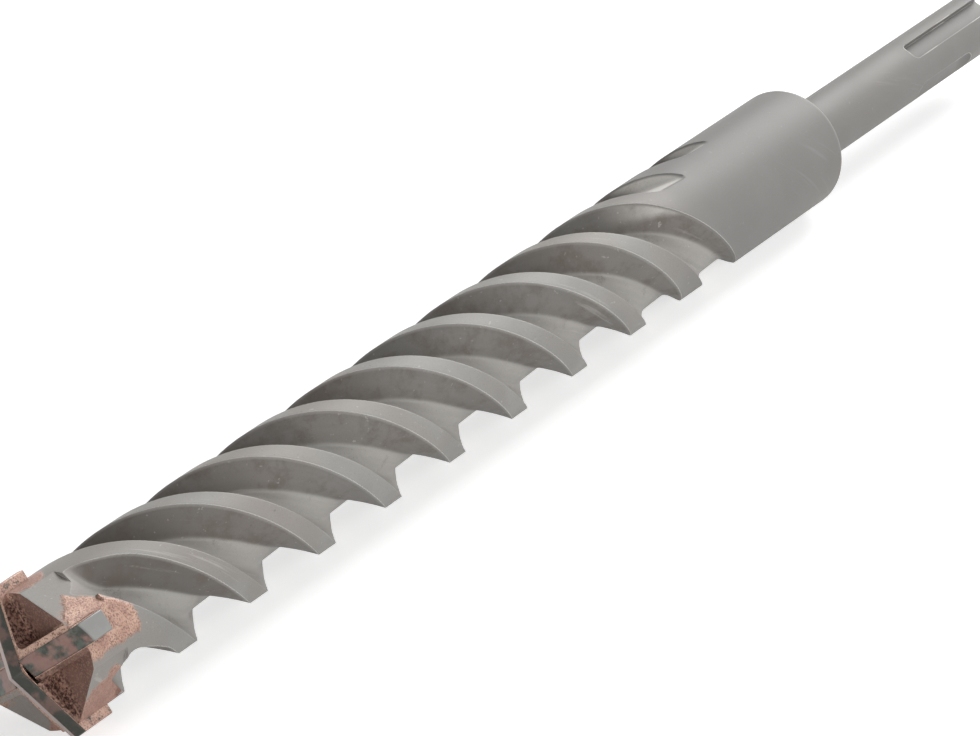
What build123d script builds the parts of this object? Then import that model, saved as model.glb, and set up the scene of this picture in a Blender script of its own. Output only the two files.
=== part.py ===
from build123d import *
import os
from math import cos, radians, sin, tan

os.makedirs("parts", exist_ok=True)

# A four-edge masonry drill bit for a rotary hammer, lying on its side.
# +X runs along the axis from the cutting tip to the shank end, +Z is up, and the origin is
# on the axis at the rear shoulder of the collar. Lengths are in millimetres, angles in degrees.
# An angle about the axis is counted from +Z towards -Y.

# Overall
body_diameter = 19.34
cutting_diameter = 22.0
tip_length = 200.0
shank_length = 60.0
collar_edge_radius = 1.5

# Slotted shank
shank_diameter = 10.0
shank_chamfer = 1.2
drive_groove_width = 3.2
drive_groove_floor = 3.65
drive_groove_start = 34.0
drive_groove_corner = 1.2
drive_groove_angle = 26.8
lock_groove_radius = 3.6
lock_groove_depth = 1.0
lock_groove_start = 33.0
lock_groove_end = 51.0
lock_groove_angle = 116.8

# Helical flutes, four starts, seen in a plane through the axis
starts = 4
crest_pitch = 16.30
land_width = 4.08
core_radius = 5.95
core_drop = 0.25
steep_flank = 0.65
steep_root_cut = 1.1
gentle_flank = 4.4
gentle_root_cut = 1.0

# Where the flutes begin and end: an angle on the helix of the first flute
flute_phase = -30.73
front_end = -907.0
front_turn = 29.0
front_skew = 18.0
main_rear_end = -1.5
side_rear_end = -70.6
runout_turn = 170.0
runout_rise = 2.6
exit_turn = 30.0
exit_rise = 1.6
end_clearance = 8.0
flute_step = 24.0
end_step = 8.0
end_zone = 60.0

# Head
wing_angle = 50.8
point_angle = 140.0
steel_setback = 0.65
flat_distance = 8.73
flat_lag = 36.8
flat_end = -188.0
main_cheek = 0.45
side_cheek = 0.8
main_heel = 0.3
side_heel = 0.7
gullet_root = -194.55
gullet_rise = -0.1
gullet_tilt = -0.1
gullet_corner = 1.0

# Carbides and their braze
main_thickness = 2.8
main_height = 10.5
main_relief = 25.0
side_thickness = 3.0
side_setback = 0.4
side_height = 8.9
side_relief = 19.0
braze = 0.12

lead = starts * crest_pitch
body_radius = body_diameter / 2
cutting_radius = cutting_diameter / 2
shank_radius = shank_diameter / 2
flute_width = crest_pitch - land_width
flute_depth = body_radius - core_radius
point_rise = 1 / tan(radians(point_angle / 2))
clear = 2.0
quarter = 360 / starts


def outward(angle):
    """The unit vector that points away from the axis at an angle about it."""
    return Vector(0, -sin(radians(angle)), cos(radians(angle)))


def across(x, angle=0):
    """The plane square to the axis at x, with its own X pointing out at that angle."""
    return Plane(origin=(x, 0, 0), x_dir=outward(angle), z_dir=(1, 0, 0))


def lengthwise(angle=0):
    """The plane through the axis at that angle: its X runs along the axis, its Y points out."""
    return Plane(origin=(0, 0, 0), x_dir=(1, 0, 0), z_dir=outward(angle + 90))


def facing(distance, angle=0):
    """The plane that looks out at that angle, at a distance from the axis."""
    return Plane(origin=outward(angle) * distance, x_dir=(1, 0, 0), z_dir=outward(angle))


# The flute cutter is lofted through sections along the helix, lifted out at both ends.
def flute_section(angle, steep_lift, gentle_lift):
    """The flute's section in the plane at an angle, with the lift of its floor at either side."""
    near = flute_phase + lead * angle / 360
    far = near + flute_width
    overhang = clear / flute_depth
    steep_top = Vector(near - steep_flank * overhang, body_radius + clear + steep_lift)
    steep_root = Vector(near + steep_flank, core_radius + steep_lift)
    gentle_root = Vector(far - gentle_flank, core_radius - core_drop + gentle_lift)
    gentle_top = Vector(far + gentle_flank * overhang, body_radius + clear + gentle_lift)
    floor = (gentle_root - steep_root).normalized()
    with BuildSketch(lengthwise(angle), mode=Mode.PRIVATE) as section:
        with BuildLine():
            Polyline(
                steep_top,
                steep_root + (steep_top - steep_root).normalized() * steep_root_cut,
                steep_root + floor * steep_root_cut,
                gentle_root - floor * gentle_root_cut,
                gentle_root + (gentle_top - gentle_root).normalized() * gentle_root_cut,
                gentle_top,
                close=True,
            )
        make_face()
    return section.sketch.face()


def front_lift(turn):
    """How far the cutter is lifted where it entered the bar, at a turn from its full depth."""
    return flute_depth * (max(0.0, front_turn - turn) / front_turn) ** 2


def rear_lift(turn):
    """How far the cutter is lifted where it leaves the bar, slowly and then in a short exit."""
    slow = runout_rise * max(0.0, 1 - turn / runout_turn)
    return slow + exit_rise * max(0.0, 1 - turn / exit_turn) ** 1.5


def flute_cutter(rear_end):
    """The space of one flute, from its front end near the head to a rear end."""
    first = front_end - end_clearance
    last = rear_end + end_clearance
    angles = [first]
    while angles[-1] < last:
        to_ends = min(angles[-1] - front_end, last - angles[-1])
        angles.append(min(last, angles[-1] + (end_step if to_ends < end_zone else flute_step)))
    sections = []
    for angle in angles:
        gentle = front_lift(angle - front_end) + rear_lift(rear_end - angle)
        steep = front_lift(angle - front_end - front_skew) + rear_lift(rear_end - angle)
        sections.append(flute_section(angle, steep, gentle))
    return loft(sections, mode=Mode.PRIVATE)


main_flute = flute_cutter(main_rear_end)
side_flute = flute_cutter(side_rear_end)

# Room in front of the wings: a pocket between each two, and a flat behind it.
# A pocket has one wall along the wing before it and one along the wing after it, and its
# floor rises from the first to the second.
pocket_cheeks = [
    (main_thickness / 2 + main_heel, side_thickness / 2 + side_cheek),
    (side_thickness / 2 + side_heel, main_thickness / 2 + main_cheek),
]
pockets = []
for number in range(starts):
    before, after = pocket_cheeks[number % 2]
    wing = wing_angle + (number - 1) * quarter
    middle = wing + quarter / 2
    slope = Vector(-1, 0, 0) + outward(middle) * gullet_rise + outward(middle + 90) * gullet_tilt
    with BuildPart() as pocket:
        with BuildSketch(across(-tip_length, wing)) as opening:
            with Locations((after + braze, before + braze)):
                Rectangle(cutting_radius, cutting_radius, align=(Align.MIN, Align.MIN))
            fillet(opening.vertices().sort_by_distance((-tip_length, 0, 0))[0], gullet_corner)
        extrude(amount=tip_length + flat_end, both=True)
        split(bisect_by=Plane(origin=(gullet_root, 0, 0), z_dir=slope), keep=Keep.TOP)
    pockets.append(pocket.part)

# The head falls away behind the edge of each side insert, with the insert's roof.
side_wings = [wing_angle, wing_angle + 2 * quarter]
plate_side = main_thickness / 2 + braze


def side_roof(wing):
    """The plane of a side insert's roof: it holds the cutting edge and falls behind it."""
    along = Vector(point_rise, 0, 0) + outward(wing)
    fall = Vector(tan(radians(side_relief)), 0, 0) + outward(wing + 90)
    corner = Vector(side_setback - tip_length, 0, 0) - outward(wing + 90) * (side_thickness / 2)
    return Plane(origin=corner, z_dir=along.cross(fall))


reliefs = []
for wing in side_wings:
    with BuildPart() as relief:
        with BuildSketch(lengthwise(wing)):
            with Locations((-tip_length, plate_side)):
                Rectangle(side_height, cutting_radius, align=(Align.MIN, Align.MIN))
        extrude(amount=side_thickness / 2 + side_heel + braze, both=True)
        split(bisect_by=side_roof(wing), keep=Keep.BOTTOM)
    reliefs.append(relief.part)

# The turned bar, with its head and shank milled
with BuildPart() as bar:
    with BuildSketch(Plane.XZ):
        with BuildLine():
            profile = FilletPolyline(
                (steel_setback - tip_length, 0),
                (steel_setback - tip_length + body_radius * point_rise, body_radius),
                (0, body_radius),
                (0, shank_radius),
                (shank_length - shank_chamfer, shank_radius),
                (shank_length, shank_radius - shank_chamfer / 2),
                (shank_length, 0),
                radius=[0, collar_edge_radius, 0, 0, 0],
            )
            Line(profile @ 1, profile @ 0)
        make_face()
    revolve(axis=Axis.X)

    for number in range(starts):
        with BuildSketch(facing(flat_distance, wing_angle - flat_lag + number * quarter)):
            with Locations((flat_end, 0)):
                Rectangle(tip_length + flat_end, body_diameter, align=(Align.MAX, Align.CENTER))
        extrude(amount=body_radius, mode=Mode.SUBTRACT)
    for cutter in pockets + reliefs:
        add(cutter, mode=Mode.SUBTRACT)

    for turn in (0, 180):
        with BuildSketch(facing(drive_groove_floor, drive_groove_angle + turn)) as groove:
            with Locations((drive_groove_start, 0)):
                Rectangle(shank_length, drive_groove_width, align=(Align.MIN, Align.CENTER))
            fillet(groove.vertices().group_by(Axis.X)[0], drive_groove_corner)
        extrude(amount=shank_radius, mode=Mode.SUBTRACT)

    lock_axis_height = shank_radius + lock_groove_radius - lock_groove_depth
    lock_reach = (lock_groove_radius**2 - (lock_groove_radius - lock_groove_depth) ** 2) ** 0.5
    for turn in (0, 180):
        with BuildSketch(lengthwise(lock_groove_angle + turn)) as scallop:
            with Locations(((lock_groove_start + lock_groove_end) / 2, lock_axis_height)):
                SlotCenterToCenter(
                    lock_groove_end - lock_groove_start - 2 * lock_reach, 2 * lock_groove_radius
                )
            with Locations((0, lock_axis_height)):
                Rectangle(
                    2 * shank_length,
                    2 * lock_groove_radius,
                    align=(Align.CENTER, Align.MIN),
                    mode=Mode.SUBTRACT,
                )
        lock_axis = Axis(outward(lock_groove_angle + turn) * lock_axis_height, (1, 0, 0))
        revolve(axis=lock_axis, mode=Mode.SUBTRACT)

# Main carbide plate: full width, with a ridge along its middle
main_wing = wing_angle + quarter
with BuildPart() as main_plate:
    with BuildSketch(lengthwise(main_wing)):
        with BuildLine():
            Polyline(
                (-tip_length, 0),
                (-tip_length + cutting_radius * point_rise, cutting_radius),
                (-tip_length + main_height, cutting_radius),
                (-tip_length + main_height, -cutting_radius),
                (-tip_length + cutting_radius * point_rise, -cutting_radius),
                close=True,
            )
        make_face()
    extrude(amount=main_thickness / 2, both=True)
    with BuildSketch(across(-tip_length)):
        Circle(cutting_radius)
    extrude(amount=main_height, mode=Mode.INTERSECT)
    for half in (1, -1):
        ridge = Vector(point_rise, 0, 0) + outward(main_wing) * half
        for flank in (1, -1):
            fall = Vector(tan(radians(main_relief)), 0, 0) + outward(main_wing + 90) * flank
            roof = ridge.cross(fall) * half * flank
            split(bisect_by=Plane(origin=(-tip_length, 0, 0), z_dir=roof), keep=Keep.TOP)
main_plate.part.label = "main_carbide_plate"

# Side carbide inserts: a cutting edge on the leading side, seated against the main plate
side_inserts = []
for wing, letter in zip(side_wings, "ab"):
    with BuildPart() as insert:
        with BuildSketch(lengthwise(wing)):
            with BuildLine():
                Polyline(
                    (side_setback - tip_length + plate_side * point_rise, plate_side),
                    (side_setback - tip_length + cutting_radius * point_rise, cutting_radius),
                    (side_setback - tip_length + side_height, cutting_radius),
                    (side_setback - tip_length + side_height, plate_side),
                    close=True,
                )
            make_face()
        extrude(amount=side_thickness / 2, both=True)
        with BuildSketch(across(-tip_length)):
            Circle(cutting_radius)
        extrude(amount=main_height, mode=Mode.INTERSECT)
        split(bisect_by=side_roof(wing), keep=Keep.TOP)
    insert.part.label = f"side_carbide_insert_{letter}"
    side_inserts.append(insert.part)

# Slots for the carbides, and the braze that fills what they leave free
with BuildPart() as main_slot:
    with BuildSketch(lengthwise(main_wing)):
        with Locations((-tip_length, 0)):
            Rectangle(main_height + braze, 2 * cutting_diameter, align=(Align.MIN, Align.CENTER))
    extrude(amount=main_thickness / 2 + braze, both=True)

side_slots = []
for wing in side_wings:
    with BuildPart() as side_slot:
        with BuildSketch(lengthwise(wing)):
            with Locations((-tip_length, plate_side)):
                Rectangle(
                    side_setback + side_height + braze, cutting_diameter, align=(Align.MIN, Align.MIN)
                )
        extrude(amount=side_thickness / 2 + braze, both=True)
    side_slots.append(side_slot.part)

with BuildPart() as main_braze:
    add(bar.part)
    add(main_slot.part, mode=Mode.INTERSECT)
    add(main_plate.part, mode=Mode.SUBTRACT)
main_braze.part.label = "main_braze"

side_brazes = []
for side_slot, insert, letter in zip(side_slots, side_inserts, "ab"):
    with BuildPart() as side_braze:
        add(bar.part)
        add(side_slot, mode=Mode.INTERSECT)
        add(insert, mode=Mode.SUBTRACT)
    side_braze.part.label = f"side_braze_{letter}"
    side_brazes.append(side_braze.part)

# Steel body: the bar with its slots and flutes
with BuildPart() as steel_body:
    add(bar.part)
    add(main_slot.part, mode=Mode.SUBTRACT)
    for side_slot in side_slots:
        add(side_slot, mode=Mode.SUBTRACT)
    for turn in (0, 2 * quarter):
        add(main_flute.rotate(Axis.X, turn), mode=Mode.SUBTRACT)
        add(side_flute.rotate(Axis.X, turn + quarter), mode=Mode.SUBTRACT)
steel_body.part.label = "steel_body"

for piece in [steel_body.part, main_plate.part, main_braze.part, *side_inserts, *side_brazes]:
    export_step(piece, f"parts/{piece.label}.step")
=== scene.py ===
import bmesh
import bpy
import numpy as np
from mathutils import Matrix, Vector


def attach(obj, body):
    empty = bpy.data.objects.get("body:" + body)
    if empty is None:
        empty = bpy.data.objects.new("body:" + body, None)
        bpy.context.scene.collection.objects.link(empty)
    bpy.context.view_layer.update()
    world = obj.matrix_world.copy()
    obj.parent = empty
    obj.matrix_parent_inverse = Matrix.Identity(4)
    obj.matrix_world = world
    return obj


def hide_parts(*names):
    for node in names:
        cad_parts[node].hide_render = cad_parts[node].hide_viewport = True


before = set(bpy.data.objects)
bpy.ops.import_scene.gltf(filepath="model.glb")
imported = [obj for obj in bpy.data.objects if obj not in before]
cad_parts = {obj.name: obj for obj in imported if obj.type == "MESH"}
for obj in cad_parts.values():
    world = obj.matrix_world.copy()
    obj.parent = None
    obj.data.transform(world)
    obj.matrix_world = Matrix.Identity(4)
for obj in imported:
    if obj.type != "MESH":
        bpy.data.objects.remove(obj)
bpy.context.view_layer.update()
print("frame loaded")

# The bit lies along X, its tip at the low end, and +Z is up. Lengths below are in
# millimetres and angles in degrees about the axis, counted from +Z towards -Y.
mm = 0.001

bit = {
    "bodyRadius": 9.67,
    "cuttingRadius": 11.0,
    "tip": -200.0,
    "steelSetback": 0.65,
    "pointRise": 0.364,      # how far the cone recedes for each millimetre outwards
    "collarRound": 1.5,
    "shankRadius": 5.0,
    "shankEnd": 60.0,
    "shankChamfer": 1.2,
    "wing": 50.8,            # angle of the first side wing
    "roundSteps": 288,       # facets about the axis
    "collarSteps": 10,
    "cutAhead": 3.0,         # how far ahead of the tip a cutter begins
    "smoothUnder": 25,       # edges sharper than this angle stay sharp
    "areaWeight": 80,        # how much a large face keeps its own shading
}

flute = {
    "pitch": 16.30,          # from one land to the next
    "starts": 4,
    "land": 4.08,
    "coreRadius": 5.95,
    "coreDrop": 0.25,
    "steepFlank": 0.65,
    "steepRound": 1.6,
    "gentleFlank": 4.4,
    "gentleRound": 2.6,
    "phase": -30.73,
    "frontEnd": -907.0,
    "frontTurn": 29.0,
    "frontCurve": 2,
    "frontSkew": 18.0,
    "rearEnds": [-1.5, -70.6],
    "runoutTurn": 170.0,
    "runoutRise": 2.6,
    "exitTurn": 30.0,
    "exitRise": 1.6,
    "exitCurve": 1.5,
    "endClearance": 8.0,
    "step": 3.0,             # degrees between sections
    "roundPoints": 7,
    "clear": 2.0,            # how far the cutter stands out of the body
}

head = {
    "flatDistance": 8.73,
    "flatLag": 36.8,
    "flatEnd": -188.0,
    "mainCheek": 0.45,
    "sideCheek": 0.8,
    "mainHeel": 0.3,
    "sideHeel": 0.7,
    "pocketReach": 14.3,
    "gulletRoot": -194.55,
    "gulletRise": -0.1,
    "gulletTilt": -0.1,
    "gulletRound": 1.0,
    "gulletSteps": 7,
    "mainThickness": 2.8,
    "mainHeight": 10.5,
    "sideThickness": 3.0,
    "sideSetback": 0.4,
    "sideHeight": 8.9,
    "sideRelief": 0.344,     # fall of the side edge's roof
    "braze": 0.12,
}

shank = {
    "driveAngle": 26.8,
    "driveWidth": 3.2,
    "driveFloor": 3.65,
    "driveStart": 34.0,
    "driveCorner": 1.2,
    "driveOverrun": 2.0,
    "cornerSteps": 9,
    "lockAngle": 116.8,
    "lockRadius": 3.6,
    "lockDepth": 1.0,
    "lockStart": 33.0,
    "lockEnd": 51.0,
    "lockSteps": 13,
    "lockFacets": 72,
    "lockPole": 0.001,       # radius left at the ends of the ball
}


# Small geometry helpers
def outward(angle):
    # unit vectors that point away from the axis: (0, -sin, cos) of each angle
    a = np.radians(np.asarray(angle, float))
    return np.stack([np.zeros_like(a), -np.sin(a), np.cos(a)], axis=-1)


def meshOf(name, points, faces):
    mesh = bpy.data.meshes.new(name)
    mesh.from_pydata(np.asarray(points).tolist(), [], [list(f) for f in faces])
    mesh.validate()
    mesh.update()
    thing = bpy.data.objects.new(name, mesh)
    bpy.context.scene.collection.objects.link(thing)
    return thing


def sideFaces(rows, columns):
    # quads between each two rings of points, rings being rows
    r, c = np.meshgrid(np.arange(rows - 1), np.arange(columns), indexing="ij")
    d = (c + 1) % columns
    corners = [r * columns + c, r * columns + d, (r + 1) * columns + d, (r + 1) * columns + c]
    return np.stack(corners, -1).reshape(-1, 4)


def outsideOut(thing):
    # merge doubles and point every face outwards
    b = bmesh.new()
    b.from_mesh(thing.data)
    bmesh.ops.remove_doubles(b, verts=b.verts, dist=1e-6)
    bmesh.ops.recalc_face_normals(b, faces=b.faces)
    b.to_mesh(thing.data)
    b.free()
    return thing


def capped(name, points, rows, columns):
    # rings of points joined by quads, with a flat cap on the first and the last ring
    faces = sideFaces(rows, columns).tolist()
    faces += [list(range(columns))[::-1], list(range((rows - 1) * columns, rows * columns))]
    return outsideOut(meshOf(name, points, faces))


def prism(name, near, far):
    # a closed prism between two outlines with as many points
    return capped(name, np.vstack([near, far]), 2, len(near))


def turned(name, profile):
    # a profile (x, r) carried round the axis, with a pole at each end where r is zero
    x, r = np.array(profile, float).T
    steps, rows = bit["roundSteps"], len(x) - 2
    points = outward(np.arange(steps) * 360 / steps)[None] * r[1:-1, None, None]
    points[..., 0] = x[1:-1, None]
    points = np.vstack([points.reshape(-1, 3), [[x[0], 0, 0], [x[-1], 0, 0]]])
    a = np.arange(steps)
    b = (a + 1) % steps
    last = (rows - 1) * steps
    faces = sideFaces(rows, steps).tolist()
    faces += np.stack([b, a, np.full(steps, rows * steps)], -1).tolist()
    faces += np.stack([a + last, b + last, np.full(steps, rows * steps + 1)], -1).tolist()
    return outsideOut(meshOf(name, points, faces))


def carve(thing, cutters):
    # take each cutter away from the thing, and then remove the cutter
    for cutter in cutters:
        cut = thing.modifiers.new("cut", "BOOLEAN")
        cut.operation = "DIFFERENCE"
        cut.solver = "MANIFOLD"
        cut.object = cutter
        evaluated = thing.evaluated_get(bpy.context.evaluated_depsgraph_get())
        result = bpy.data.meshes.new_from_object(evaluated)
        thing.modifiers.clear()
        thing.data = result
        bpy.data.objects.remove(cutter)


# The bar: a cone, the body, the rounded collar edge and the shank
def makeBar():
    front = bit["tip"] + bit["steelSetback"]
    radius, curve = bit["bodyRadius"], bit["collarRound"]
    rim = np.radians(np.linspace(90, 0, bit["collarSteps"]))
    profile = [(front, 0), (front + radius * bit["pointRise"], radius)]
    profile += [(-curve * (1 - np.cos(a)), radius - curve * (1 - np.sin(a))) for a in rim]
    profile += [
        (0, bit["shankRadius"]),
        (bit["shankEnd"] - bit["shankChamfer"], bit["shankRadius"]),
        (bit["shankEnd"], bit["shankRadius"] - bit["shankChamfer"] / 2),
        (bit["shankEnd"], 0),
    ]
    return turned("bit_body", profile)


# One flute: a groove section carried along the helix and lifted out at both ends
def rounded(before, corner, after, radius, count):
    # arc points between two straight runs: the arc's centre lies on the bisector, and the
    # points turn evenly from one tangent point to the other
    a = before - corner
    b = after - corner
    a /= np.linalg.norm(a, axis=1)[:, None]
    b /= np.linalg.norm(b, axis=1)[:, None]
    half = np.arccos(np.clip((a * b).sum(1), -1, 1)) / 2
    middle = (a + b) / np.linalg.norm(a + b, axis=1)[:, None]
    centre = corner + middle * (radius / np.sin(half))[:, None]
    start = corner + a * (radius / np.tan(half))[:, None] - centre
    end = corner + b * (radius / np.tan(half))[:, None] - centre
    turn = (np.pi - 2 * half)[:, None, None]
    k = np.linspace(0, 1, count)[None, :, None]
    sweep = np.sin((1 - k) * turn) * start[:, None] + np.sin(k * turn) * end[:, None]
    return centre[:, None] + sweep / np.sin(turn)


def frontLift(past):
    # lift at the front end, the whole depth times a power of what is left of the turn
    left = np.maximum(0, flute["frontTurn"] - past) / flute["frontTurn"]
    return (bit["bodyRadius"] - flute["coreRadius"]) * left ** flute["frontCurve"]


def rearLift(left):
    # lift at the rear end, a long even rise and a short curved one
    rise = flute["runoutRise"] * np.maximum(0, 1 - left / flute["runoutTurn"])
    out = np.maximum(0, 1 - left / flute["exitTurn"])
    return rise + flute["exitRise"] * out ** flute["exitCurve"]


def makeFlute(rearEnd, turn):
    clearance = flute["endClearance"]
    angles = np.arange(flute["frontEnd"] - clearance, rearEnd + clearance, flute["step"])
    past = angles - flute["frontEnd"]
    rear = rearLift(rearEnd - angles)
    gentle = frontLift(past) + rear
    steep = frontLift(past - flute["frontSkew"]) + rear
    near = flute["phase"] + flute["pitch"] * flute["starts"] * angles / 360
    far = near + flute["pitch"] - flute["land"]
    over = flute["clear"] / (bit["bodyRadius"] - flute["coreRadius"])
    top, core = bit["bodyRadius"] + flute["clear"], flute["coreRadius"]
    # corners of the groove as (x, r), from the steep flank's top to the gentle flank's
    steepTop = np.stack([near - flute["steepFlank"] * over, top + steep], -1)
    steepRoot = np.stack([near + flute["steepFlank"], core + steep], -1)
    gentleRoot = np.stack([far - flute["gentleFlank"], core - flute["coreDrop"] + gentle], -1)
    gentleTop = np.stack([far + flute["gentleFlank"] * over, top + gentle], -1)
    count = flute["roundPoints"]
    steepCorner = rounded(steepTop, steepRoot, gentleRoot, flute["steepRound"], count)
    gentleCorner = rounded(steepRoot, gentleRoot, gentleTop, flute["gentleRound"], count)
    section = [steepTop[:, None], steepCorner, gentleCorner, gentleTop[:, None]]
    section = np.concatenate(section, axis=1)
    # from (x, r) in each section's plane to space
    points = outward(angles + turn)[:, None] * section[..., 1:]
    points[..., 0] = section[..., 0]
    rows, columns = section.shape[:2]
    return capped("flute", points.reshape(-1, 3), rows, columns)


# Cutters of the head
def acrossPoints(outline, wing, x):
    # outline points (u, v) out along the wing and a quarter turn further, at x
    u, v = np.array(outline, float).T
    points = outward(wing) * u[:, None] + outward(wing + 90) * v[:, None]
    points[:, 0] = x
    return points


def headCutter(name, outline, wing, end):
    # a prism from ahead of the tip back to its end, which may be one x or one for each point
    ahead = bit["tip"] - bit["cutAhead"]
    return prism(name, acrossPoints(outline, wing, ahead), acrossPoints(outline, wing, end))


def box(left, right, low, high):
    return [(left, low), (right, low), (right, high), (left, high)]


def makeFlats():
    half = bit["bodyRadius"]
    outline = box(head["flatDistance"], 2 * half, -half, half)
    first = bit["wing"] - head["flatLag"]
    return [headCutter("flat", outline, first + n * 90, head["flatEnd"]) for n in range(4)]


def makePockets():
    main, side = head["mainThickness"] / 2, head["sideThickness"] / 2
    walls = [
        (main + head["mainHeel"], side + head["sideCheek"]),
        (side + head["sideHeel"], main + head["mainCheek"]),
    ]
    reach, r = head["pocketReach"], head["gulletRound"]
    arc = np.radians(np.linspace(90, 0, head["gulletSteps"]))
    cutters = []
    for number in range(4):
        before, after = (wall + head["braze"] for wall in walls[number % 2])
        wing = bit["wing"] + (number - 1) * 90
        corner = [(after + r * (1 - np.sin(t)), before + r * (1 - np.cos(t))) for t in arc]
        outline = [(after, reach)] + corner + [(reach, before), (reach, reach)]
        points = acrossPoints(outline, wing, 0)
        floor = (head["gulletRoot"] + head["gulletRise"] * points @ outward(wing + 45)
                 + head["gulletTilt"] * points @ outward(wing + 135))
        cutters.append(headCutter("pocket", outline, wing, floor))
    return cutters


def makeReliefs():
    # behind each side edge the head falls away with the insert's roof
    inner = head["mainThickness"] / 2 + head["braze"]
    half = head["sideThickness"] / 2
    width = half + head["sideHeel"] + head["braze"]
    outline = box(inner, bit["cuttingRadius"], -width, width)
    u, v = np.array(outline).T
    roof = (bit["tip"] + head["sideSetback"] + u * bit["pointRise"]
            + (v + half) * head["sideRelief"])
    return [headCutter("relief", outline, bit["wing"] + turn, roof) for turn in (0, 180)]


def makeSlots():
    b, reach = head["braze"], 2 * bit["cuttingRadius"]
    wide, half = head["mainThickness"] / 2 + b, head["sideThickness"] / 2 + b
    mainEnd = bit["tip"] + head["mainHeight"] + b
    sideEnd = bit["tip"] + head["sideSetback"] + head["sideHeight"] + b
    through, beside = box(-reach, reach, -wide, wide), box(wide, reach, -half, half)
    return [headCutter("slot", through, bit["wing"] + 90, mainEnd)] + [
        headCutter("slot", beside, bit["wing"] + turn, sideEnd) for turn in (0, 180)]


# Grooves of the shank
def makeDriveGrooves():
    half, c, start = shank["driveWidth"] / 2, shank["driveCorner"], shank["driveStart"]
    end = bit["shankEnd"] + shank["driveOverrun"]
    arc = np.radians(np.linspace(0, 90, shank["cornerSteps"]))
    outline = [(start + c * (1 - np.cos(t)), half - c * (1 - np.sin(t))) for t in arc]
    outline += [(end, half), (end, -half)]
    outline += [(start + c * (1 - np.cos(t)), -half + c * (1 - np.sin(t))) for t in arc[::-1]]
    x, v = np.array(outline).T
    cutters = []
    for angle in (shank["driveAngle"], shank["driveAngle"] + 180):
        sideways = outward(angle + 90) * v[:, None]
        low = outward(angle) * shank["driveFloor"] + sideways
        high = outward(angle) * 2 * bit["shankRadius"] + sideways
        low[:, 0] = high[:, 0] = x
        cutters.append(prism("groove", low, high))
    return cutters


def makeLockGrooves():
    # a round scallop with ball ends, lying over the shank
    r, dip, facets = shank["lockRadius"], shank["lockDepth"], shank["lockFacets"]
    reach = np.sqrt(r * r - (r - dip) ** 2)
    first, last = shank["lockStart"] + reach, shank["lockEnd"] - reach
    t = np.radians(np.linspace(0, 90, shank["lockSteps"]))
    x = np.concatenate([first - r * np.cos(t), last + r * np.cos(t[::-1])])
    radius = np.concatenate([r * np.sin(t), r * np.sin(t[::-1])])
    ring = outward(np.arange(facets) * 360 / facets)
    cutters = []
    for angle in (shank["lockAngle"], shank["lockAngle"] + 180):
        points = ring[None] * np.maximum(radius, shank["lockPole"])[:, None, None]
        points[..., 0] = x[:, None]
        points = points + outward(angle) * (bit["shankRadius"] + r - dip)
        cutters.append(capped("lock", points.reshape(-1, 3), len(x), facets))
    return cutters


body = makeBar()
carve(body, [makeFlute(flute["rearEnds"][n % 2], n * 90) for n in range(4)])
print("flutes cut")
carve(body, makeFlats() + makePockets() + makeReliefs() + makeSlots())
carve(body, makeDriveGrooves() + makeLockGrooves())
print("head and shank cut", len(body.data.polygons), "faces")
body.data.transform(Matrix.Scale(mm, 4))


def settle(thing, degrees):
    # smooth shading, with the edges sharper than the angle kept
    thing.data.shade_smooth()
    thing.data.set_sharp_from_angle(angle=np.radians(degrees))


settle(body, bit["smoothUnder"])
# large faces keep their own shading where a run-out ends on them
evenShading = body.modifiers.new("even shading", "WEIGHTED_NORMAL")
evenShading.weight = bit["areaWeight"]
evenShading.keep_sharp = True

# Carbides and braze: copies of the CAD solids, the carbides with worn edges
worn = {
    "width": 0.12,
    "segments": 2,
    "bevelOver": 20,         # only edges sharper than this angle are worn
    "flatWithin": 1.0,       # faces within this angle are joined first
    "mergeWithin": 0.002,
    "smoothUnder": 30,
}


def copyOf(node, name, width):
    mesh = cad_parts[node].data.copy()
    b = bmesh.new()
    b.from_mesh(mesh)
    bmesh.ops.remove_doubles(b, verts=b.verts, dist=worn["mergeWithin"] * mm)
    flat = np.radians(worn["flatWithin"])
    bmesh.ops.dissolve_limit(b, angle_limit=flat, verts=b.verts, edges=b.edges)
    b.to_mesh(mesh)
    b.free()
    mesh.materials.clear()
    thing = bpy.data.objects.new(name, mesh)
    bpy.context.scene.collection.objects.link(thing)
    if width:
        bevel = thing.modifiers.new("worn edges", "BEVEL")
        bevel.width = width * mm
        bevel.segments = worn["segments"]
        bevel.limit_method = "ANGLE"
        bevel.angle_limit = np.radians(worn["bevelOver"])
    settle(thing, worn["smoothUnder"])
    return thing, node


carbides = [
    copyOf("main_carbide_plate", "main_plate", worn["width"]),
    copyOf("side_carbide_insert_a", "side_insert_a", worn["width"]),
    copyOf("side_carbide_insert_b", "side_insert_b", worn["width"]),
]
brazes = [
    copyOf("main_braze", "plate_braze", 0),
    copyOf("side_braze_a", "insert_braze_a", 0),
    copyOf("side_braze_b", "insert_braze_b", 0),
]
print("carbides and braze copied")


# Shader maths
def addNode(tree, kind, settings, values):
    # a node of one type, its settings, and the values or links of its sockets
    node = tree.nodes.new(kind)
    for key, value in settings.items():
        setattr(node, key, value)
    for key, value in values.items():
        join(tree, value, node.inputs[key])
    return node


def join(tree, value, socket):
    if isinstance(value, Sock):
        tree.links.new(value.socket, socket)
    else:
        socket.default_value = value


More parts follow.
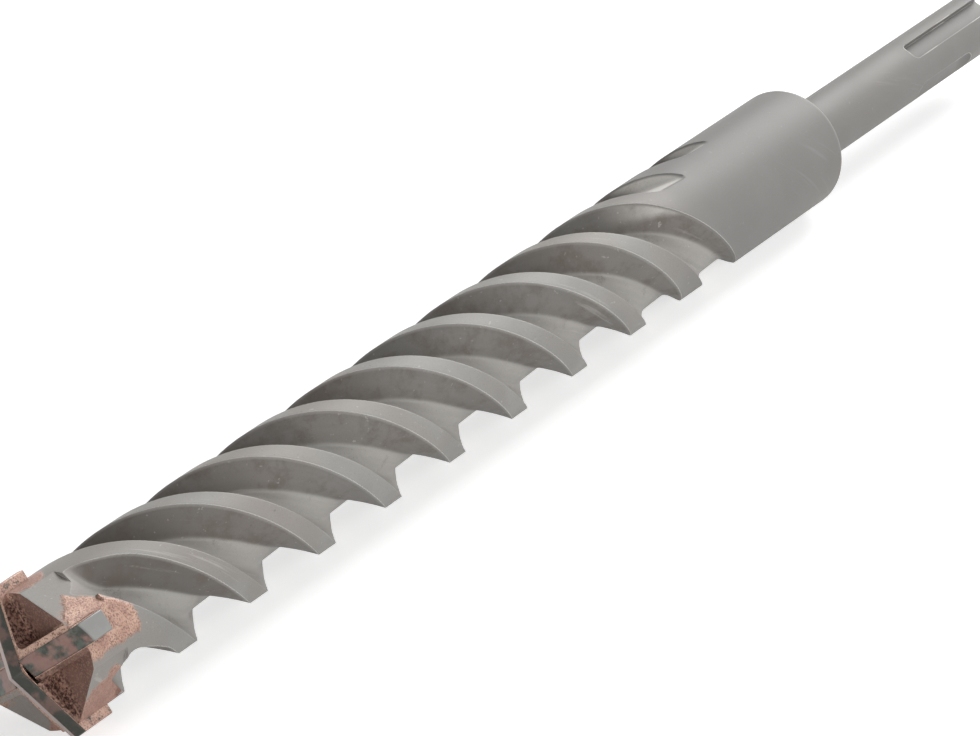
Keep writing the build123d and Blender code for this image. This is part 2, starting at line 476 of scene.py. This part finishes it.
class Sock:
    # a socket that takes Python's operators
    def __init__(self, tree, socket):
        self.tree = tree
        self.socket = socket

    def math(self, operation, *others):
        values = dict(enumerate((self, *others)))
        node = addNode(self.tree, "ShaderNodeMath", {"operation": operation}, values)
        return Sock(self.tree, node.outputs[0])

    def __add__(self, other):
        return self.math("ADD", other)

    def __mul__(self, other):
        return self.math("MULTIPLY", other)

    def __sub__(self, other):
        return self.math("SUBTRACT", other)

    def __rsub__(self, other):
        return (self * -1) + other

    def __truediv__(self, other):
        return self.math("DIVIDE", other)

    def __abs__(self):
        return self.math("ABSOLUTE")

    __radd__ = __add__
    __rmul__ = __mul__

    def least(self, other):
        return self.math("MINIMUM", other)

    def most(self, other):
        return self.math("MAXIMUM", other)

    def ramp(self, low, high):
        # 0 at low and 1 at high, smooth between, whichever of the two is larger
        values = {"Value": self, "From Min": low, "From Max": high}
        node = addNode(self.tree, "ShaderNodeMapRange", {"interpolation_type": "SMOOTHSTEP"}, values)
        return Sock(self.tree, node.outputs["Result"])

    def band(self, layer):
        # a ramp from low to high, times a share
        low, high, share = layer
        return self.ramp(low, high) * share


def linear(colour):
    # an 0 to 255 screen colour as the linear one that sockets take
    c = np.array(colour, float) / 255
    return tuple(np.where(c <= 0.04045, c / 12.92, ((c + 0.055) / 1.055) ** 2.4)) + (1.0,)


# Size in mm, detail, roughness and offset of each noise
patterns = {
    "cloud": (11.0, 2.0, 0.5, (0, 0, 0)),
    "tint": (16.0, 2.0, 0.5, (5, 5, 2)),
    "grain": (0.22, 2.0, 0.6, (0, 0, 0)),
    "fine": (0.8, 3.0, 0.6, (3, 1, 7)),
    "skin": (4.0, 4.0, 0.65, (9, 2, 4)),
    "streak": (1.6, 4.0, 0.6, (0, 0, 0)),
    "lumps": (0.26, 2.0, 0.6, (1, 6, 3)),
    "patch": (2.5, 3.0, 0.5, (7, 2, 2)),
    "red": (1.8, 3.0, 0.6, (4, 4, 8)),
    "border": (2.0, 3.0, 0.5, (2, 8, 5)),
    "splash": (0.42, 2.0, 0.6, (8, 3, 1)),
    "mottle": (1.2, 5.0, 0.65, (0, 0, 0)),
    "sinter": (0.25, 3.0, 0.6, (0, 0, 0)),
    "spots": (3.4, 4.0, 0.55, (3, 3, 6)),
}


class Paint:
    # one material's node tree
    def __init__(self, name):
        self.material = bpy.data.materials.new(name)
        self.material.use_nodes = True
        self.tree = self.material.node_tree
        self.shader = self.tree.nodes["Principled BSDF"]
        self.place = self.node("ShaderNodeTexCoord", {}, {}, "Object")

    def node(self, kind, settings, values, out):
        return Sock(self.tree, addNode(self.tree, kind, settings, values).outputs[out])

    def split(self, vector):
        parts = addNode(self.tree, "ShaderNodeSeparateXYZ", {}, {0: vector})
        return [Sock(self.tree, out) for out in parts.outputs]

    def axes(self):
        # x along the axis, y and z in mm, angle about the axis in degrees and distance from it
        x, y, z = (part * (1 / mm) for part in self.split(self.place))
        angle = (y * -1).math("ARCTAN2", z) * (180 / np.pi)
        return x, y, z, angle, (y * y + z * z).math("SQRT")

    def noise(self, name, where=None):
        size, detail, rough, offset = patterns[name]
        if where is None:
            values = {"Vector": self.place, "Scale": (1 / mm,) * 3, "Location": offset}
            where = self.node("ShaderNodeMapping", {}, values, "Vector")
        values = {"Vector": where, "Scale": 1 / size, "Detail": detail, "Roughness": rough}
        return self.node("ShaderNodeTexNoise", {}, values, "Fac")

    def alongFlutes(self, x, y, z, squeeze):
        # places turned back by the helix, so that a pattern on them runs along the flutes
        t = x * (2 * np.pi / (flute["pitch"] * flute["starts"]))
        c, s = t.math("COSINE"), t.math("SINE")
        values = {"X": x * squeeze, "Y": y * c + z * s, "Z": z * c - y * s}
        return self.node("ShaderNodeCombineXYZ", {}, values, "Vector")

    def mix(self, share, first, second):
        # colours blended by a share, on the colour sockets of the Mix node
        ends = [value if isinstance(value, Sock) else linear(value) for value in (first, second)]
        values = {0: share, 6: ends[0], 7: ends[1]}
        return self.node("ShaderNodeMix", {"data_type": "RGBA"}, values, 2)

    def bevelled(self, radius):
        # the normal as if the edges were rounded
        values = {"Radius": radius * mm}
        return self.node("ShaderNodeBevel", {"samples": 6}, values, "Normal")

    def bump(self, height, distance, strength, normal=None):
        values = {"Height": height, "Distance": distance * mm, "Strength": strength}
        if normal is not None:
            values["Normal"] = normal
        return self.node("ShaderNodeBump", {}, values, "Normal")

    def finish(self, **values):
        for key, value in values.items():
            join(self.tree, value, self.shader.inputs[key])
        return self.material


def wingAxes(y, z):
    # distances along and across the first side wing
    a = np.radians(bit["wing"])
    along = y * -np.sin(a) + z * np.cos(a)
    across = y * -np.cos(a) + z * -np.sin(a)
    return along, across


def facing(p):
    # how far the surface looks towards the tip, and along the first side wing, from -1 to 1
    x, y, z = p.split(p.node("ShaderNodeNewGeometry", {}, {}, "Normal"))
    return x * -1, wingAxes(y, z)[0]


# Blasted steel
steelLook = {
    "light": (158, 156, 152),
    "base": (148, 146, 142),
    # painted light for the flute's root, against the shade that falls in the flute
    "warm": (152, 145, 139),
    "root": (186, 183, 178),
    # painted highlight for the run-outs near the top
    "runoutLight": (222, 219, 214),
    "turned": (122, 121, 119),
    "dark": (96, 91, 86),
    "rust": (106, 94, 85),
    "edge": (236, 234, 229),
    "metallic": 0.05,
    "rough": 0.52,
    "cloudRough": 0.15,
    "specular": 0.25,
    "edgeRound": 0.22,
    "edgeMatch": (0.995, 0.90),   # agreement of the rounded and the true normal, new to worn and highlighted
    "edgeShare": 0.30,
    "landEdgeShare": 0.65,        # more of it where a land meets the flute behind
    "squeeze": 0.08,              # of the streaks along the flutes
    "rootLightShare": 0.75,
    # darkening of the gentle flanks, part dark skin and part painted shade
    "gentleShare": 0.40,
    "gentleMore": 0.32,           # more of it near the head
    "runoutLightShare": 0.9,
    "turnedShare": 0.7,
    "grainHeight": 0.25,
    "fineHeight": 0.5,
    "bumpDistance": 0.02,
    "bumpStrength": 0.5,
}

# Low end, high end and share of each layer of the steel
steelLayers = {
    "cloud": (0.38, 0.62, 1.0),
    "warm": (0.45, 0.65, 0.6),
    "darkStreak": (0.35, 0.70, 0.12),
    "brownSkin": (0.44, 0.62, 0.40),
    "brownFleck": (0.56, 0.70, 0.4),
    "fleckGrain": (0.35, 0.6, 1.0),
    "brightStreak": (0.62, 0.72, 0.18),
    "brightSpeck": (0.66, 0.74, 0.25),
    "darkSpeck": (0.30, 0.22, 0.6),
    "darkGrain": (0.0, 0.3, 0.25),
}

# Where one finish of the steel, or its painted shade or painted highlight, fades into the next, in mm
steelZones = {
    "belowLand": (0.04, 0.45),
    "fluteFront": (-188.0, -184.0),
    "fluteBack": (2.0, 0.0),
    "gentle": (7.4, 8.4),         # in the pitch, as the two after it
    "landRise": (9.0, 11.0),
    "landFall": (15.0, 14.0),
    "landFront": (-186.0, -184.0),
    "nearHead": (-150.0, -178.0),
    # where the painted highlight lies on the run-outs near the top
    "runoutLightAlong": (-56.0, -42.0),
    "runoutLightUp": (6.6, 8.2),
    "turned": (-60.0, -35.0),
}


def bareSteel(p, x, y, z, angle, radius, rounding):
    look, layers, zones = steelLook, steelLayers, steelZones
    cloud, tint = p.noise("cloud"), p.noise("tint")
    grain, fine, skin = p.noise("grain"), p.noise("fine"), p.noise("skin")
    streak = p.noise("streak", p.alongFlutes(x, y, z, look["squeeze"]))
    colour = p.mix(cloud.band(layers["cloud"]), look["base"], look["light"])
    colour = p.mix(tint.band(layers["warm"]), colour, look["warm"])
    # the place in the flutes' pitch, from the steep flank over the root and the gentle
    # flank to the land
    helix = angle * (flute["pitch"] * flute["starts"] / 360)
    inPitch = (x - flute["phase"] - helix).math("FLOORED_MODULO", flute["pitch"])
    depth = bit["bodyRadius"] - radius
    inFlute = depth.ramp(*zones["belowLand"])
    inFlute = inFlute * x.ramp(*zones["fluteFront"]) * x.ramp(*zones["fluteBack"])
    # the gentle flanks are painted darker, partly a dark skin with brown traces and partly
    # painted shade, and the run-outs on top are painted light as a painted highlight
    # the run-outs near the top are painted lighter, a painted highlight where light falls on them
    paintedRunoutLight = x.ramp(*zones["runoutLightAlong"]) * z.ramp(*zones["runoutLightUp"])
    gentle = inFlute * inPitch.ramp(*zones["gentle"]) * (1 - paintedRunoutLight)
    # painted shade together with the dark skin of the gentle flanks, more of it near the head
    darker = x.ramp(*zones["nearHead"]) * look["gentleMore"] + look["gentleShare"]
    # the flute's root is painted lighter: painted light that lifts the shade falling in the flute
    colour = p.mix(inFlute * (1 - gentle) * look["rootLightShare"], colour, look["root"])
    colour = p.mix(inFlute * streak.band(layers["darkStreak"]), colour, look["dark"])
    colour = p.mix(gentle * darker, colour, look["dark"])
    colour = p.mix(inFlute * paintedRunoutLight * look["runoutLightShare"], colour, look["runoutLight"])
    colour = p.mix(gentle * skin.band(layers["brownSkin"]), colour, look["rust"])
    fleck = skin.band(layers["brownFleck"]) * grain.band(layers["fleckGrain"])
    colour = p.mix(inFlute * fleck, colour, look["rust"])
    colour = p.mix(streak.band(layers["brightStreak"]), colour, look["edge"])
    colour = p.mix(fine.band(layers["brightSpeck"]), colour, look["edge"])
    colour = p.mix(fine.band(layers["darkSpeck"]), colour, look["dark"])
    colour = p.mix(abs(grain - 0.5).band(layers["darkGrain"]), colour, look["dark"])
    # the turned collar and shank are a shade darker
    collar = (1 - inFlute) * x.ramp(*zones["turned"])
    colour = p.mix(collar * look["turnedShare"], colour, look["turned"])
    # edges are painted bright, part wear and part painted highlight, most of all where a land
    # meets the flute behind it
    true = p.node("ShaderNodeNewGeometry", {}, {}, "Normal")
    match = p.node("ShaderNodeVectorMath", {"operation": "DOT_PRODUCT"}, {0: rounding, 1: true}, "Value")
    landEdge = inPitch.ramp(*zones["landRise"]) * inPitch.ramp(*zones["landFall"])
    landEdge = landEdge * x.ramp(*zones["landFront"])
    # bright edges: partly wear, partly a painted highlight along edges and roots
    wearAndHighlight = match.ramp(*look["edgeMatch"])
    wearAndHighlight = wearAndHighlight * (landEdge * look["landEdgeShare"] + look["edgeShare"])
    colour = p.mix(wearAndHighlight, colour, look["edge"])
    height = grain * look["grainHeight"] + fine * look["fineHeight"]
    normal = p.bump(height, look["bumpDistance"], look["bumpStrength"], rounding)
    return colour, cloud * look["cloudRough"] + look["rough"], normal


# Copper braze, in the slots and where it ran out over the steel
copperLook = {
    "light": (200, 166, 148),
    "crest": (224, 188, 168),
    "base": (180, 144, 128),
    "red": (158, 121, 110),
    "brown": (132, 101, 89),
    "floor": (118, 90, 79),
    # painted shade for the hollows of the coarse splatter
    "pitShade": (66, 42, 36),
    "brazeMetallic": 0.4,
    "brazeRough": 0.4,
    "lumpRough": 0.25,
    "brazeBump": 0.08,
    "brazeStrength": 0.8,
    "metallic": 0.1,              # more than the steel
    "smoother": 0.06,             # than the steel
    "swellDistance": 0.06,
    "swellStrength": 0.9,
    "borderSwell": 2.0,
    "lumpSwell": 1.2,
    "splashSwell": 3.0,
}

# Low end, high end and share of each layer of the copper
copperLayers = {
    "light": (0.35, 0.65, 1.0),
    "red": (0.48, 0.66, 0.8),
    "lightLump": (0.55, 0.64, 0.5),
    "brownLump": (0.49, 0.38, 0.9),
    "floor": (0.3, 0.7, 1.0),
    "floorLump": (0.52, 0.60, 0.35),
    "splash": (0.50, 0.60, 0.9),
    "pitShade": (0.47, 0.38, 1.0),
    "crest": (0.38, 0.52, 0.8),
}

# Where the copper ran out over the body beside a wing, as x and the arc from the wing
copperRuns = {
    "side": {
        "heel": 3.9,
        "endX": -187.5,
        "endArc": 1.9,
        "endRound": 3.3,
        "lineX": -185.17,
        "lineArc": -0.36,
        "lineSlope": 0.98,
        "frontX": -195.83,
        "frontArc": -2.95,
        "frontSlope": -0.72,
    },
    "main": {
        "heel": 4.5,
        "endX": -191.0,
        "endArc": 1.4,
        "endRound": 3.2,
        "lineX": -187.0,
        "lineArc": -6.0,
        "lineSlope": 0.98,
        "frontX": -195.5,
        "frontArc": -5.6,
        "frontSlope": -0.57,
    },
    "frontFade": 0.4,             # the border towards the tip is softer
    "ragged": 1.8,
}

# Where the copper in and beside the pockets begins and ends, in mm
copperZones = {
    "border": (-0.35, 0.30),
    "swell": (-0.10, 0.45),
    "lookAhead": (0.08, 0.22),    # how far a floor looks towards the tip
    "frontBack": (-190.0, -192.5),
    "wallFrom": (2.62, 2.52),
    "wallBack": (-190.5, -192.5),
    "wallOut": (8.9, 8.5),
    "crestFrom": (2.75, 2.45),
    "crestSunk": (1.5, 1.1),
    "coarse": (4.2, 2.2),         # from the main plate
    "mainSide": (1.0, -1.0),
    "mainRed": (-198.0, -194.0, 0.6),
    "ahead": (0.0, -2.0),
    "aheadShare": 0.9,
    "behindShare": 0.1,
    "beyondPlate": (-2.5, -1.0),
    "beyondShare": 0.2,
}


def borderOf(x, arc, way, name):
    # distance inside the straight border that passes one point with a slope
    slope = way[name + "Slope"]
    return (arc - way[name + "Arc"] - (x - way[name + "X"]) * slope) / np.hypot(1, slope)


def copperRun(x, arc, ragged, way):
    # the least distance inside the copper's border: the heel side, a round end, the line
    # along the flute and the line towards the tip
    heel = way["heel"] - arc
    overX = (x - way["endX"]).most(0.0)
    overArc = (arc - way["endArc"]).most(0.0)
    end = way["endRound"] - (overX * overX + overArc * overArc).math("SQRT")
    line = borderOf(x, arc, way, "line")
    front = borderOf(x, arc, way, "front") * copperRuns["frontFade"]
    return heel.least(end).least(line).least(front) + ragged


def copperRunAll(p, x, angle):
    # the most of the four runs, one beside each wing
    ragged = (p.noise("border") - 0.5) * copperRuns["ragged"]
    run = None
    for number in range(4):
        fromWing = angle - (bit["wing"] + number * 90) + 540
        fromWing = fromWing.math("FLOORED_MODULO", 360.0) - 180
        arc = fromWing * (np.pi / 180 * bit["bodyRadius"])
        one = copperRun(x, arc, ragged, copperRuns[("side", "main")[number % 2]])
        run = one if run is None else run.most(one)
    return run


def copperColour(p, lumps, cloud, red):
    look, layers = copperLook, copperLayers
    colour = p.mix(cloud.band(layers["light"]), look["base"], look["light"])
    colour = p.mix(red.band(layers["red"]), colour, look["red"])
    colour = p.mix(lumps.band(layers["lightLump"]), colour, look["light"])
    return p.mix(lumps.band(layers["brownLump"]), colour, look["brown"])


def copperPaint():
    p = Paint("copper_braze")
    lumps = p.noise("lumps")
    return p.finish(**{
        "Base Color": copperColour(p, lumps, p.noise("patch"), p.noise("red")),
        "Roughness": lumps * copperLook["lumpRough"] + copperLook["brazeRough"],
        "Metallic": copperLook["brazeMetallic"],
        "Normal": p.bump(lumps, copperLook["brazeBump"], copperLook["brazeStrength"]),
    })


def steelPaint():
    p = Paint("blasted_steel")
    look, layers, zones = copperLook, copperLayers, copperZones
    x, y, z, angle, radius = p.axes()
    rounding = p.bevelled(steelLook["edgeRound"])
    colour, rough, normal = bareSteel(p, x, y, z, angle, radius, rounding)
    lumps, patch, splash = p.noise("lumps"), p.noise("patch"), p.noise("splash")
    run = copperRunAll(p, x, angle)
    outside = run.ramp(*zones["border"])
    # the pockets' floors and walls, and the crests beside the carbides
    along, across = wingAxes(y, z)
    nearSide, nearMain = abs(across), abs(along)
    nearWing = nearSide.least(nearMain)
    front = facing(p)[0].ramp(*zones["lookAhead"]) * x.ramp(*zones["frontBack"])
    wall = nearWing.ramp(*zones["wallFrom"]) * x.ramp(*zones["wallBack"])
    pocket = front.most(wall * radius.ramp(*zones["wallOut"]))
    sunk = x - radius * bit["pointRise"] - (bit["tip"] + bit["steelSetback"])
    crest = front * nearWing.ramp(*zones["crestFrom"]) * sunk.ramp(*zones["crestSunk"])
    # brown floors, with coarse splatter along the main plate
    coarse = nearMain.ramp(*zones["coarse"])
    inside = p.mix(patch.band(layers["floor"]), look["brown"], look["floor"])
    inside = p.mix(lumps.band(layers["floorLump"]), inside, look["base"])
    inside = p.mix(splash.band(layers["splash"]) * coarse, inside, look["base"])
    # dark pits where the splatter is low: painted shade in its hollows
    inside = p.mix(splash.band(layers["pitShade"]) * coarse, inside, look["pitShade"])
    # redder beside the main plate's ends
    shell = copperColour(p, lumps, patch, p.noise("red"))
    mainSide = (nearMain - nearSide).ramp(*zones["mainSide"])
    shell = p.mix(mainSide * outside * x.band(zones["mainRed"]), shell, look["red"])
    # on the side behind each insert the crest stays brown
    ahead = (along * across).ramp(*zones["ahead"])
    crestShare = ahead * zones["aheadShare"] + zones["behindShare"]
    inside = p.mix(crest * crestShare, inside, shell)
    inside = p.mix(crest * ahead * lumps.band(layers["crest"]), inside, look["crest"])
    # beyond the plate the pockets stay mostly bare
    bare = zones["beyondShare"]
    pocket = pocket * (along.ramp(*zones["beyondPlate"]) * (1 - bare) + bare)
    colour = p.mix(outside, colour, shell)
    colour = p.mix(pocket, colour, inside)
    copper = outside.most(pocket)
    swell = run.ramp(*zones["swell"]) * look["borderSwell"]
    swell = swell + lumps * outside * look["lumpSwell"] + splash * pocket * look["splashSwell"]
    return p.finish(**{
        "Base Color": colour,
        "Roughness": rough - copper * look["smoother"],
        "Metallic": copper * look["metallic"] + steelLook["metallic"],
        "Specular IOR Level": steelLook["specular"],
        "Normal": p.bump(swell, look["swellDistance"], look["swellStrength"], normal),
    })


# Sintered carbide
carbideLook = {
    "base": (88, 94, 86),
    "light": (134, 133, 131),
    "facet": (200, 182, 176),
    "plate": (52, 52, 46),
    "stain": (170, 128, 119),
    "dark": (62, 65, 58),
    "metallic": 0.25,
    "rough": 0.35,
    "sinterRough": 0.2,
    "edgeRound": 0.15,
    "bumpDistance": 0.02,
    "bumpStrength": 0.6,
    "mottle": (0.4, 0.6),
    "plateShare": 0.85,
    "plateHalf": (1.46, 1.42),    # from the middle of the main plate
    "stained": (0.44, 0.58),
    "stainedAhead": (0.3, 0.6),   # how far a stained roof looks towards the tip
    "stainShare": 0.62,
    "plateStain": -0.30,
    "facetAside": (-0.2, -0.4),
    "facetAhead": (0.1, 0.3, 0.8),
    "outerEnd": (10.85, 10.95, 0.85),
    "coatAside": (0.35, 0.15),
    "coat": (0.30, 0.48, 0.9),
}


def carbidePaint():
    p = Paint("sintered_carbide")
    look = carbideLook
    x, y, z, angle, radius = p.axes()
    mottle, sinter, spots = p.noise("mottle"), p.noise("sinter"), p.noise("spots")
    toTip, toWing = facing(p)
    plate = abs(wingAxes(y, z)[0]).ramp(*look["plateHalf"])
    colour = p.mix(mottle.ramp(*look["mottle"]), look["base"], look["dark"])
    colour = p.mix(plate * look["plateShare"], colour, look["plate"])
    stain = spots.ramp(*look["stained"]) * toTip.ramp(*look["stainedAhead"])
    stain = stain * (plate * look["plateStain"] + look["stainShare"])
    colour = p.mix(stain, colour, look["stain"])
    # the facet that looks away from the first side wing is ground bright
    facet = plate * toWing.ramp(*look["facetAside"]) * toTip.band(look["facetAhead"])
    colour = p.mix(facet, colour, look["facet"])
    colour = p.mix(radius.band(look["outerEnd"]), colour, look["light"])
    # braze wetted the plate's sides and ends
    coat = plate * toTip.ramp(*look["coatAside"]) * mottle.band(look["coat"])
    colour = p.mix(coat, colour, copperColour(p, p.noise("lumps"), spots, p.noise("red")))
    rounding = p.bevelled(look["edgeRound"])
    return p.finish(**{
        "Base Color": colour,
        "Roughness": sinter * look["sinterRough"] + look["rough"],
        "Metallic": look["metallic"],
        "Normal": p.bump(sinter, look["bumpDistance"], look["bumpStrength"], rounding),
    })


steel, copper, carbide = steelPaint(), copperPaint(), carbidePaint()
for thing, node, material, slot in (
    [(body, "steel_body", steel, "steel")]
    + [(thing, node, carbide, "carbide") for thing, node in carbides]
    + [(thing, node, copper, "braze") for thing, node in brazes]
):
    thing.data.materials.clear()
    thing.data.materials.append(material)
    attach(thing, "root")
    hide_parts(node)
print("materials made")

# Floor, light and camera
stage = {
    "floorSize": 3.0,
    "floorBelow": 0.02,           # mm under the body
    "floorColour": (0.75, 0.75, 0.75),
    "floorRough": 0.95,
    "floorLift": 0.62,            # what the camera sees added to the floor, to bring it to white
    "worldLight": 0.03,
    "lamps": [  # place, size and power of each soft lamp, aimed at the bit's middle
        ((0.30, 1.50, 0.30), 1.0, 5.5),
        ((0.60, -1.40, 0.40), 1.0, 12.0),
        ((1.30, 0.15, 0.95), 1.0, 34.0),
        ((-1.30, -0.75, 0.20), 1.0, 11.0),
    ],
    "aim": (-0.09, 0, 0),
}

camera = {
    "place": (-0.66440, -0.37092, 0.33471),
    "right": (0.54050, -0.84134, 0.0),
    "down": (-0.37106, -0.23838, -0.89749),
    "look": (0.75510, 0.48509, -0.44104),
    "lens": 194.995,
    "sensor": 36.0,
    "clipStart": 0.01,
}

s = stage["floorSize"]
floorHeight = -(bit["bodyRadius"] + stage["floorBelow"]) * mm
floorPoints = [(x, y, floorHeight) for x, y in box(-s, s, -s, s)]
floor = meshOf("floor", floorPoints, [(0, 1, 2, 3)])


def seenDirectly(tree):
    # 1 for what the camera, the gloss and the glass see
    path = addNode(tree, "ShaderNodeLightPath", {}, {})
    names = ("Is Camera Ray", "Is Glossy Ray", "Is Transmission Ray")
    seen, gloss, glass = (Sock(tree, path.outputs[name]) for name in names)
    return seen.most(gloss).most(glass)


floorPaint = Paint("pale_floor")
floor.data.materials.append(floorPaint.finish(**{
    "Base Color": (*stage["floorColour"], 1),
    "Roughness": stage["floorRough"],
    "Specular IOR Level": 0.0,
    "Emission Color": seenDirectly(floorPaint.tree),
    "Emission Strength": stage["floorLift"],
}))

world = bpy.data.worlds.new("studio")
bpy.context.scene.world = world
world.use_nodes = True
back = world.node_tree.nodes["Background"]
back.inputs["Strength"].default_value = 1.0
grey = seenDirectly(world.node_tree) * (1 - stage["worldLight"]) + stage["worldLight"]
join(world.node_tree, grey, back.inputs["Color"])

for number, (place, size, power) in enumerate(stage["lamps"]):
    lamp = bpy.data.lights.new(f"lamp_{number}", "AREA")
    lamp.energy = power
    lamp.size = size
    holder = bpy.data.objects.new(f"lamp_{number}", lamp)
    bpy.context.scene.collection.objects.link(holder)
    holder.location = place
    towards = Vector(stage["aim"]) - Vector(place)
    holder.rotation_euler = towards.to_track_quat("-Z", "Y").to_euler()

eye = bpy.data.cameras.new("camera")
eye.sensor_fit = "HORIZONTAL"
eye.sensor_width = camera["sensor"]
eye.lens = camera["lens"]
eye.clip_start = camera["clipStart"]
eyeHolder = bpy.data.objects.new("camera", eye)
bpy.context.scene.collection.objects.link(eyeHolder)
sides = [camera["right"], -np.array(camera["down"]), -np.array(camera["look"])]
turnMatrix = np.eye(4)
turnMatrix[:3, :3] = np.stack(sides, 1)
turnMatrix[:3, 3] = camera["place"]
eyeHolder.matrix_world = Matrix(turnMatrix.tolist())
bpy.context.scene.camera = eyeHolder
bpy.context.scene.view_settings.view_transform = "Standard"
print("stage set")
